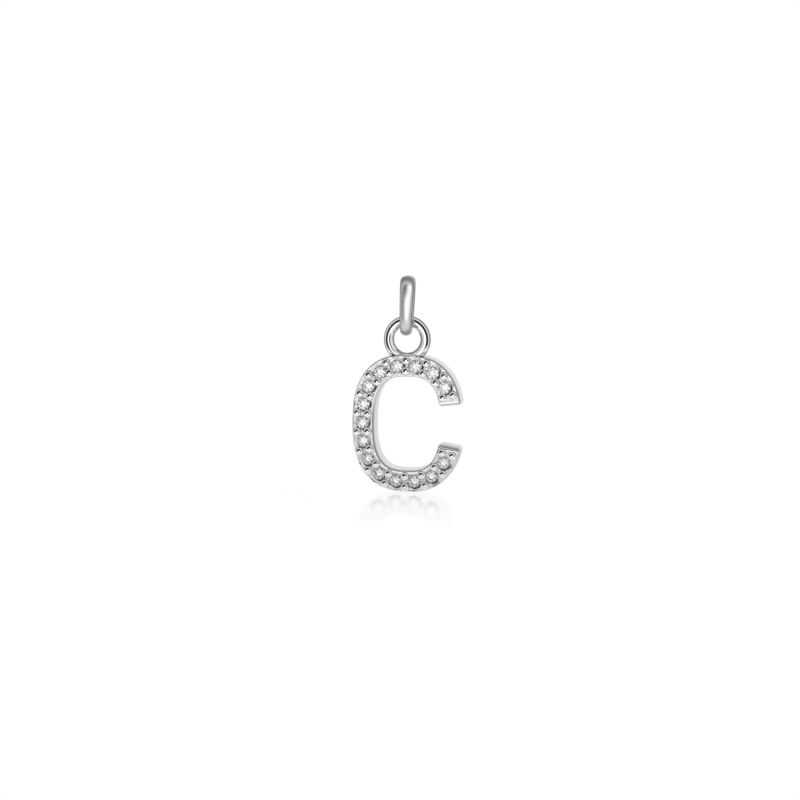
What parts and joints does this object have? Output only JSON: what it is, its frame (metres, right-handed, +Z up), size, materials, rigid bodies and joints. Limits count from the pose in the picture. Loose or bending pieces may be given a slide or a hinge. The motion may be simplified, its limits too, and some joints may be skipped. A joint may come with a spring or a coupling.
{
  "type": "initial pendant",
  "caption": "Open letter-shaped silver pendant with a row of round stones held by raised beads, a soldered wire loop and an oval bail for a neck chain.",
  "frame": {"origin": "inner top of the bail, where a neck chain passes and the pendant hangs", "axes": "+Z up along the hanging pendant; -Y out of the letter's set front; +X to the letter's open side"},
  "size_m": [0.0086, 0.0038, 0.0172],
  "materials": {
    "silver": "polished",
    "stone": "clear, faceted"
  },
  "bodies": {
    "bail": {"bail": "silver"},
    "letter": {"letter_frame": "silver", "stone_01": "stone", "stone_02": "stone", "stone_03": "stone", "stone_04": "stone", "stone_05": "stone", "stone_06": "stone", "stone_07": "stone", "stone_08": "stone", "stone_09": "stone", "stone_10": "stone", "stone_11": "stone", "stone_12": "stone", "stone_13": "stone", "stone_14": "stone", "stone_15": "stone"}
  },
  "joints": [
    {"name": "letter_swing", "type": "hinge", "parent": "bail", "child": "letter", "pos_m": [0, 0, -0.00382], "axis": [0, 1, 0], "range_deg": [-115, 115]}
  ]
}
